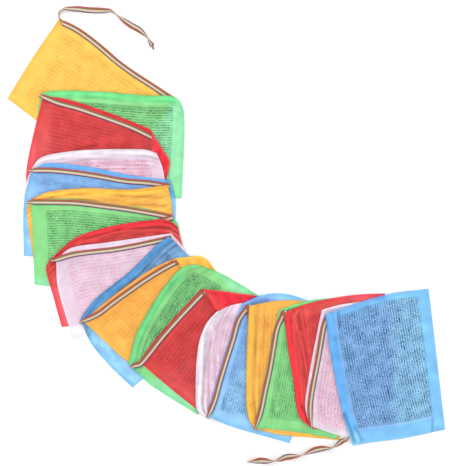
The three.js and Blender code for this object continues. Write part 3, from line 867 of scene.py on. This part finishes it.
def tape_material():
    n = Nodes("striped_tape")
    across, along = n.split("Print")
    colour = rgba(STRIPES[0][1])
    for (edge, _), (_, stripe) in zip(STRIPES, STRIPES[1:]):
        share = n.ramp(across, (edge - 0.25) * MM, (edge + 0.25) * MM)
        colour = n.mix(share, colour, rgba(stripe))
    picks = n.calc("SINE", n.calc("MULTIPLY", along, 2 * math.pi / (1.3 * MM)))
    ends = n.calc("SINE", n.calc("MULTIPLY", across, 2 * math.pi / (0.8 * MM)))
    ribs = n.calc("MULTIPLY", picks, ends)
    tone = n.calc("ADD", n.calc("MULTIPLY", ribs, 0.1), 0.95)
    colour = n.mix(1.0, colour, n.vector(tone, tone, tone), "MULTIPLY")
    n.feed(n.shader.inputs["Base Color"], colour)
    n.shader.inputs["Roughness"].default_value = 0.75
    n.shader.inputs["Sheen Weight"].default_value = 0.2
    bump = n.add("ShaderNodeBump", Strength=0.5, Distance=0.0004, Height=ribs)
    n.feed(n.shader.inputs["Normal"], bump.outputs[0])
    return n.material


def tape_guide(flag, along):
    """The tape's middle line beside a heading, at a share of its length."""
    outer, middle, inner = flag.get("strip", [BACK_INSET] * 3)
    strip = outer * (1 - along) * (1 - 2 * along) + middle * 4 * along * (1 - along) + inner * along * (2 * along - 1)
    heading = flag["edges"]["heading"]
    return heading.at(along) + right_of(heading.way(along)) * (TAPE_WIDTH / 2 + strip)


def side_start(flag):
    outer = flag["edges"]["outer"]
    return unit(outer.at(SIDE_START) - outer.at(0))


def rim_reach(places, middle, outward, crease_way):
    """How far a flag's rim reaches beyond a place, within the tape's width of it."""
    rim = np.vstack([places[0], places[-1], places[:, 0], places[:, -1]]) - middle
    near = np.abs(rim @ crease_way) < TAPE_WIDTH / 2 * FOLD_SHARE + FOLD_CLEARANCE
    return max(0.0, (rim[near] @ outward).max(initial=0.0))


def fold_between(flag, following):
    """Where the tape folds back between two flags, and which way it bulges there."""
    outer_end = not flag["front"]
    end = 0.0 if outer_end else 1.0
    near = BACK_GUIDES[-1] if outer_end else FRONT_GUIDES[-1]
    next_near = FRONT_GUIDES[0] if outer_end else BACK_GUIDES[0]
    if "fold" in flag:
        middle = np.array(flag["fold"], float)
    elif outer_end:
        corners = [one["edges"]["heading"].at(0.0) for one in (flag, following)]
        inward = [right_of(one["edges"]["heading"].way(0.0)) for one in (flag, following)]
        middle = (corners[0] + corners[1]) / 2 + (inward[0] + inward[1]) / 2 * CORNER_INSET
    else:
        middle = (tape_guide(flag, end) + tape_guide(following, end)) / 2
    arriving = unit(middle - tape_guide(flag, near))
    after = np.array(following["turn"][0], float) if "turn" in following else tape_guide(following, next_near)
    leaving = unit(after - middle)
    outward = unit(arriving - leaving)
    crease_way = right_of(outward)
    if outer_end:
        side_way = unit(side_start(flag) + side_start(following))
        crease_way = unit(crease_way * np.sign(crease_way @ side_way) + side_way)
        square = right_of(crease_way)
        outward = square * np.sign(square @ outward)
        reach = max(rim_reach(one["places"], middle, outward, crease_way) for one in (flag, following))
        if "fold" not in flag:
            middle = middle + outward * (reach + FOLD_CLEARANCE)
    return dict(middle=middle, outward=outward, crease_way=crease_way)


def tape_run(flag, before, after, tail):
    """The tape beside one flag, as a grid of places from its outer edge to its inner edge."""
    guides = [tape_guide(flag, along) for along in (FRONT_GUIDES if flag["front"] else BACK_GUIDES)]
    path = [before["middle"] if before else tape_guide(flag, TIE_PLACE)]
    path += [np.array(place, float) for place in flag.get("turn", []) + flag.get("outer_turn", [])]
    path += guides
    path += [after["middle"]] if after else [np.array(place, float) for place in tail]
    line = Line(path)
    side = 1.0 if flag["front"] else -1.0
    shares = np.linspace(0, 1, max(2, round(line.length / TAPE_STEP)) + 1)
    middles = line.at(shares)
    widths = right_of(line.way(shares)) * side * TAPE_WIDTH / 2
    for fold, end in ((before, 0), (after, -1)):
        if fold:
            square = unit(widths[end])
            lean = fold["crease_way"] @ square
            slanted = fold["crease_way"] * np.sign(lean) * TAPE_WIDTH / 2 / abs(lean)
            distance = line.length * (shares if end == 0 else 1 - shares)
            fade = np.clip(1 - distance / TAPE_WIDTH, 0, 1)[:, None]
            widths = widths * (1 - fade) + slanted * fade
    across = np.linspace(-1, 1, TAPE_CELLS_ACROSS + 1)[None, :, None]
    return middles[:, None] + widths[:, None] * across


def curl(run, crumpled, at_start):
    """Draws a run in towards its middle line, most at one end, and lifts it there by as much as it needs."""
    centre = run[:, run.shape[1] // 2][:, None]
    steps = np.linalg.norm(np.diff(centre[:, 0, :2], axis=0), axis=1)
    distance = np.r_[0, np.cumsum(steps)]
    distance = distance if at_start else distance[-1] - distance
    spread = FOLD_SHARE + (TAPE_CURL - FOLD_SHARE) * soft_step(distance, 0, crumpled)
    across = np.linspace(-1, 1, run.shape[1])[None]
    bulge = TAPE_WIDTH / 2 * np.sqrt(1 - spread**2)[:, None] * CURL_HEIGHT * (1 - across**2)
    drawn = centre + (run - centre) * spread[:, None, None]
    drawn[..., 2] = run[..., 2] + bulge
    return drawn


def fold_rows(lower, upper, fold, faces_in):
    """The half turn between the last row of one run and the first of the next, and the way its front faces."""
    rows, facings = [], []
    sign = 1.0 if faces_in else -1.0
    outward = np.array([*fold["outward"], 0.0])
    for step in range(1, FOLD_STEPS):
        angle = math.pi * step / FOLD_STEPS
        row = lower + (upper - lower) * step / FOLD_STEPS
        rise = upper[:, 2] - lower[:, 2]
        row[:, 2] = lower[:, 2] + rise * (1 - math.cos(angle)) / 2
        row += outward * (rise / 2 * math.sin(angle))[:, None]
        rows.append(row)
        facing = np.array([0.0, 0.0, sign * math.cos(angle)]) - outward * sign * math.sin(angle)
        facings.append(np.tile(facing, (len(row), 1)))
    return rows, facings


TIE_STEPS = 6


def tie_rows(rows, pile):
    """A free tie that rolls over as it lies on the pile or the floor."""
    table = np.array(rows, float)
    numbers = np.arange(len(rows))
    steps = np.linspace(0, len(rows) - 1, TIE_STEPS * (len(rows) - 1) + 1)
    line = Line(table[:, :2])
    reached = np.r_[0, np.cumsum(np.linalg.norm(np.diff(table[:, :2], axis=0), axis=1))]
    shares = np.interp(steps, numbers, reached / reached[-1])
    rolls = np.radians(smoothed(np.interp(steps, numbers, table[:, 2])))
    spreads = np.interp(steps, numbers, table[:, 3])
    middles = line.at(shares)
    rights = right_of(line.way(shares))
    made, facings = [], []
    for middle, right, roll, spread in zip(middles, rights, rolls, spreads):
        width = np.array([*(right * math.cos(roll)), math.sin(roll)]) * spread
        facing = np.array([*(-right * math.sin(roll)), math.cos(roll)])
        across = np.linspace(-1, 1, TAPE_CELLS_ACROSS + 1)[:, None]
        row = np.array([*middle, 0.0]) + width * across * TAPE_WIDTH / 2
        below = pile.under(row[:, :2]).max()
        rest = below + LAYER_GAP if below > 0 else 0.0
        row[:, 2] += rest + abs(width[2]) * TAPE_WIDTH / 2 + abs(facing[2]) * TAPE_THICKNESS / 2
        made.append(row)
        facings.append(np.tile(facing, (len(row), 1)))
    return made, facings


def smoothed(values):
    for _ in range(4):
        wide = np.pad(values, 1, mode="edge")
        values = (wide[:-2] + 2 * wide[1:-1] + wide[2:]) / 4
    return values


def band_mesh(rows, facings):
    """The whole tape as one closed band, with its width and length as flat coordinates."""
    middle = np.array(rows)
    facing = unit(np.array(facings))
    centre = middle[:, middle.shape[1] // 2]
    along = np.r_[0, np.cumsum(np.linalg.norm(np.diff(centre, axis=0), axis=1))]
    across = np.linspace(0, TAPE_WIDTH, middle.shape[1])
    uv = np.dstack(np.broadcast_arrays(across[None], along[:, None]))
    colour = np.broadcast_to(np.r_[TAPE_COLOUR, 0], (*middle.shape[:2], 4))
    rim = np.minimum(uv[..., 0], TAPE_WIDTH - uv[..., 0])
    return closed_sheet("tape", middle, facing, TAPE_THICKNESS, {"Print": uv}, colour, rim), along[-1]


def crease_height(places, start, end, width, height):
    """A soft ridge or trough beside a straight line, fading out at its ends."""
    start, end = np.array(start, float), np.array(end, float)
    way = end - start
    length = np.linalg.norm(way)
    offset = places - start
    along = offset @ way / length
    aside = offset @ right_of(way / length)
    ends = soft_step(along, -width, width) * soft_step(length - along, -width, width)
    return height * np.exp(-((aside / width) ** 2)) * ends


def puckers(outer, heading, rng):
    """Small gathers that run down from the heading's seam and die away."""
    total = np.zeros(outer.shape)
    for _ in range(6):
        spacing = rng.uniform(11, 34)
        phase = rng.uniform(0, 2 * math.pi)
        reach = rng.uniform(12, 55)
        total += np.sin(2 * math.pi * outer / spacing + phase) * np.exp(-heading / reach)
    return PUCKER_HEIGHT * total / 6


def heading_folds(outer, heading, rng):
    """Uneven small folds that run beside the heading."""
    total = np.zeros(outer.shape)
    for _ in range(5):
        spacing = rng.uniform(10, 20)
        phase = rng.uniform(0, 2 * math.pi)
        bend = rng.uniform(4, 12) * np.sin(outer / rng.uniform(60, 110) + rng.uniform(0, 2 * math.pi))
        strength = 0.8 + 0.4 * np.sin(outer / rng.uniform(50, 90) + rng.uniform(0, 2 * math.pi))
        total += strength * np.sin(2 * math.pi * (heading + bend) / spacing + phase)
    return total / 4 * (1 - soft_step(heading, HEADING_REACH * 0.5, HEADING_REACH * 1.3))


def blotches(places, rng):
    """Cloudy differences from -1 to 1, a few centimetres wide."""
    total = np.zeros(places.shape[:2])
    for _ in range(10):
        angle = rng.uniform(0, 2 * math.pi)
        length = rng.uniform(18, 60)
        along = places[..., 0] * math.cos(angle) + places[..., 1] * math.sin(angle)
        aside = places[..., 1] * math.cos(angle) - places[..., 0] * math.sin(angle)
        wander = 0.25 * np.sin(aside / length * 3 + rng.uniform(0, 2 * math.pi))
        total += np.sin(2 * math.pi * (along / length + wander) + rng.uniform(0, 2 * math.pi))
    return np.clip(total / 4, -1, 1)


def flag_relief(number, flag, places, rng):
    """The flag's own unevenness: soft waves, gathers, creases, and a rounded edge where the heading wraps the tape."""
    outer, inner, heading, hem = distances(places)
    relief = soft_unevenness(places, rng, LOOSENESS, 120.0) + puckers(outer, heading, rng)
    relief += WEAR_AND_SHADE[number][0] * heading_folds(outer, heading, rng)
    for crease in CREASES.get(number, []):
        relief += crease_height(places, *crease)
    if not flag["front"]:
        relief += 1.3 * np.exp(-(((heading - 7) / 6) ** 2))
    return relief


def crease_shading(relief):
    """How light the cloth is painted where it is creased: painted shade in the troughs and painted light on the ridges,
    and in the troughs also sheer cloth looking deeper.
    """
    level = relief
    for _ in range(14):
        level = evened(level)
    return np.clip(1.02 + CREASE_SHADING * (relief - level), 0.6, 1.25)


def flag_dye_and_shade(number, flag, places, pile, tone, rng):
    """The flag's colour, with painted shade and light from its creases and painted shade beside its heading, together
    with its print's strength, the mean of both, and what its print and rim are drawn from.
    """
    outer, inner, heading, hem = distances(places)
    cloth = CLOTHS[flag["cloth"]]
    top = number == 1
    _, blotchiness, shade, strength = WEAR_AND_SHADE[number]
    margin_heading, margin_hem, margin_outer, margin_inner = TOP_MARGINS if top else MARGINS
    margin_outer = NARROW_OUTER_MARGINS.get(number, margin_outer)
    turned = np.zeros(outer.shape)
    for distance, width in zip((heading, hem, outer, inner), TOP_TURNINGS if top else TURNINGS):
        turned = np.maximum(turned, soft_step(width - distance, -1.5, 1.5))
    cloudy = blotches(places, rng)
    # Painted shade beside the heading, on top of the painted crease shading; the blotches are the cloth's own uneven
    # dye
    shaded = 1 - shade * (1 - soft_step(heading, HEADING_REACH * 0.6, HEADING_REACH * 1.2))
    tone = tone * shaded * (1 + blotchiness * cloudy)
    colour = sheer_colour(cloth, pile.colour_under(places), turned) * tone[..., None]
    uvs = {
        "Print": np.dstack([outer - margin_outer, heading - margin_heading]),
        "PrintEnd": np.dstack([inner - margin_inner, hem - margin_hem]),
    }
    inside = np.minimum(uvs["Print"].min(axis=2), uvs["PrintEnd"].min(axis=2))
    ink = np.clip(strength * (1 - 0.3 * cloudy), 0, 1)
    inked = (soft_step(inside, 0, 4) * ink * MEAN_INK)[..., None]
    rim = np.minimum(np.minimum(outer, inner), np.minimum(heading, hem))
    mean = colour + (cloth["ink"] - colour) * inked
    return np.dstack([np.clip(colour, 0, 1), ink]), mean, uvs, rim


def lay_flag(number, flag, pile, rng):
    places = flag["places"]
    relief = flag_relief(number, flag, places, rng)
    heights = lay(places, pile, CLOTH_THICKNESS, relief)
    # The relief's creases are painted into the colour as shade in the troughs and light on the ridges
    colour, mean, uvs, rim = flag_dye_and_shade(number, flag, places, pile, crease_shading(relief), rng)
    middle = np.dstack([places, heights])
    pile.add(places, heights + CLOTH_THICKNESS / 2, mean)
    return closed_sheet(f"flag_{number:02d}", middle, upward(middle), CLOTH_THICKNESS, uvs, colour, rim)


def lay_tape(run, pile):
    pile.add(run[..., :2], run[..., 2] + TAPE_THICKNESS / 2, np.broadcast_to(TAPE_COLOUR, run.shape))


def lay_run(run, pile, number, at_start):
    laid = np.dstack([run, lay(run, pile, TAPE_THICKNESS, 0.0)])
    laid = curl(laid, CRUMPLED_LENGTHS.get(number, 1.0), at_start)
    lay_tape(laid, pile)
    return laid


def lay_flap(number, flag, pile):
    """A corner folded over on top of its own flag, joined to it by a rounded crease."""
    row = FLAPS[number]
    crease, free = row["crease"], row["free"]
    columns = max(4, round(Line(crease).length / LONGEST_CELL))
    depth = max(4, round(Line([crease[0], *row["start"], free[0]]).length / LONGEST_CELL) + 4)
    start = Line([crease[0], *row["start"], free[0]])
    end = Line([crease[-1], *row["end"], free[-1]])
    places = patch(Line(crease), Line(free), start, end, columns, depth)
    outer, inner, fold, hem = distances(places)
    relief = 1.2 * np.exp(-((fold / 5) ** 2)) + 0.5 * np.sin(outer / 4.5) * soft_step(fold, 0, 10) + 0.5
    laid = np.dstack([places, lay(places, pile, CLOTH_THICKNESS, relief)])
    cloth = CLOTHS[flag["cloth"]]
    # The flap is made 12% brighter, with painted shade and light from its crease
    tone = FLAP_BRIGHTNESS * crease_shading(relief)
    colour = sheer_colour(cloth, pile.colour_under(places), np.zeros(outer.shape)) * tone[..., None]
    pile.add(places, laid[..., 2] + CLOTH_THICKNESS / 2, colour)
    colour = np.dstack([np.clip(colour, 0, 1), np.zeros(outer.shape)])
    outward = unit(places[0] - places[1])
    bend = []
    for step in range(1, FOLD_STEPS // 2 + 1):
        angle = math.pi * step / (FOLD_STEPS // 2)
        drop = laid[0, :, 2] * (1 - math.cos(angle)) / 2
        lower = laid[0, :, 2] - np.minimum(drop, CREASE_DROP * (1 - math.cos(angle)) / 2)
        bend.append(np.column_stack([places[0] + outward * CREASE_DROP / 2 * math.sin(angle), lower]))
    middle = np.vstack([np.array(bend[::-1]), laid])
    extra = len(bend)
    normal = upward(laid)
    turned_normal = [normal[0] * math.cos(a) + np.column_stack([outward, np.zeros(len(outward))]) * math.sin(a)
                     for a in [math.pi * step / extra for step in range(extra, 0, -1)]]
    normal = np.vstack([np.array(turned_normal), normal])
    colour = np.vstack([np.repeat(colour[:1], extra, axis=0), colour])
    nowhere = np.full((*colour.shape[:2], 2), -10.0)
    rim = np.vstack([np.full((extra, colour.shape[1]), 20.0), np.minimum(np.minimum(outer, inner), hem)])
    flat = np.vstack([np.repeat(np.dstack([outer, fold])[:1], extra, axis=0), np.dstack([outer, fold])])
    uvs = {"Print": flat, "PrintEnd": nowhere}
    return closed_sheet(f"flap_{number:02d}", middle, normal, CLOTH_THICKNESS, uvs, colour, rim)


def frayed_end(tape_rows):
    """Loose threads past the cut end of the lower tie."""
    end = tape_rows[0]
    way = unit((tape_rows[0] - tape_rows[2]).mean(axis=0)[:2])
    rng = np.random.default_rng(7)
    meshes = []
    for share in FRAYED_PLACES:
        root = end[0] + (end[-1] - end[0]) * share
        spread = (share - 0.5) * 1.3 + rng.uniform(-0.15, 0.15)
        turned = np.array([way[0] * math.cos(spread) - way[1] * math.sin(spread),
                           way[0] * math.sin(spread) + way[1] * math.cos(spread)])
        length = rng.uniform(10, 14)
        steps = np.linspace(-0.1, 1, 7)
        line = root[:2] + turned * (steps * length)[:, None]
        heights = root[2] + (0.5 - root[2]) * soft_step(steps, 0, 1)
        middle = np.dstack([
            line[:, None] + right_of(turned) * np.array([-0.8, 0.8])[None, :, None],
            np.repeat(heights[:, None], 2, axis=1),
        ])
        uv = np.dstack(np.broadcast_arrays(np.full((1, 2), share * TAPE_WIDTH), (steps * length)[:, None]))
        colour = np.broadcast_to(np.r_[TAPE_COLOUR, 0], (*middle.shape[:2], 4))
        meshes.append(closed_sheet("thread", middle, upward(middle), 0.6, {"Print": uv}, colour, uv[..., 0]))
    return meshes


def build_string():
    """Lays every layer on the ones below it, in the order in which the string folds up."""
    pile = Pile()
    rng = np.random.default_rng(20)
    flags = []
    for row in FLAGS:
        edges = flag_edges(row)
        columns = round(FLAG_WIDTH / LONGEST_CELL)
        rows = round(FLAG_DROP / LONGEST_CELL)
        places = patch(edges["heading"], edges["hem"], edges["outer"], edges["inner"], columns, rows)
        flags.append({**row, "edges": edges, "places": places})
    folds = [fold_between(flag, following) for flag, following in zip(flags, flags[1:])]
    materials = {name: cloth_material(f"{name}_cloth", cloth) for name, cloth in CLOTHS.items()}
    tape_rows, tape_facings = [], []
    made = {}
    for index, flag in enumerate(flags):
        number = len(flags) - index
        before = folds[index - 1] if index else None
        after = folds[index] if index < len(folds) else None
        run = tape_run(flag, before, after, UPPER_TIE_START)
        if flag["front"]:
            made[number] = [lay_flag(number, flag, pile, rng)]
            laid = lay_run(run, pile, number, at_start=True)
        else:
            laid = lay_run(run, pile, number - 1, at_start=False)
            if number + 1 in FLAPS:
                made[number + 1].append(lay_flap(number + 1, flags[index - 1], pile))
            if number == 1:
                end_rows, end_facings = tie_rows(UPPER_TIE, pile)
                lay_tape(np.array(end_rows), pile)
            made[number] = [lay_flag(number, flag, pile, rng)]
        if index == 0:
            rows, facings = tie_rows(LOWER_TIE, pile)
            tape_rows += rows
            tape_facings += facings
        else:
            rows, facings = fold_rows(tape_rows[-1], laid[0], before, not flag["front"])
            tape_rows += rows
            tape_facings += facings
        tape_rows += list(laid)
        facing = np.array([0.0, 0.0, 1.0 if flag["front"] else -1.0])
        tape_facings += [np.tile(facing, (laid.shape[1], 1))] * len(laid)
    mesh, length = band_mesh(tape_rows + end_rows, tape_facings + end_facings)
    tape = sheet_object("heading_tape", [mesh, *frayed_end(tape_rows)], tape_material())
    cloths = {
        number: sheet_object(f"cloth_{number:02d}", meshes, materials[flags[-number]["cloth"]])
        for number, meshes in made.items()
    }
    return cloths, tape, length


def make_stage():
    bpy.ops.mesh.primitive_plane_add(size=12, location=(0, 0, -0.0002))
    floor = bpy.context.object
    floor.name = "floor"
    n = Nodes("floor")
    n.shader.inputs["Base Color"].default_value = (0.97, 0.97, 0.97, 1)
    n.shader.inputs["Roughness"].default_value = 0.9
    n.shader.inputs["Emission Color"].default_value = (1, 1, 1, 1)
    n.shader.inputs["Emission Strength"].default_value = 0.1
    floor.data.materials.append(n.material)
    world = bpy.data.worlds.new("studio")
    bpy.context.scene.world = world
    world.use_nodes = True
    world.node_tree.nodes["Background"].inputs["Color"].default_value = (1, 1, 1, 1)
    world.node_tree.nodes["Background"].inputs["Strength"].default_value = 0.94
    lamp = bpy.data.lights.new("softbox", "AREA")
    lamp.shape = "RECTANGLE"
    lamp.size = 1.6
    lamp.size_y = 1.6
    lamp.energy = 14
    box = bpy.data.objects.new("softbox", lamp)
    box.location = (-1.1, 1.2, 1.9)
    direction = -box.location
    box.rotation_euler = direction.to_track_quat("-Z", "Y").to_euler()
    bpy.context.scene.collection.objects.link(box)


PIXEL = 2.36 * MM
VIEW_HEIGHT = 466 * PIXEL
VIEW_MIDDLE = (5.4 * MM, 4.6 * MM)
LENS = 80.0
SENSOR = 36.0


def make_camera():
    """Straight above, with the photograph's frame and its plain colours."""
    bpy.context.scene.view_settings.view_transform = "Standard"
    camera = bpy.data.cameras.new("camera")
    camera.lens = LENS
    camera.sensor_width = SENSOR
    holder = bpy.data.objects.new("camera", camera)
    distance = VIEW_HEIGHT * LENS / SENSOR
    holder.location = (*VIEW_MIDDLE, distance)
    bpy.context.scene.collection.objects.link(holder)
    bpy.context.scene.camera = holder


make_camera()
make_stage()
cloths, tape, tape_length = build_string()
FRAME_SHIFT = (0.0, 2.2 * MM, 0.0)
for number, cloth in cloths.items():
    cloth.location = FRAME_SHIFT
    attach(cloth, "root")
    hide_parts(f"flag_{number:02d}")
tape.location = FRAME_SHIFT
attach(tape, "root")
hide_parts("tape")
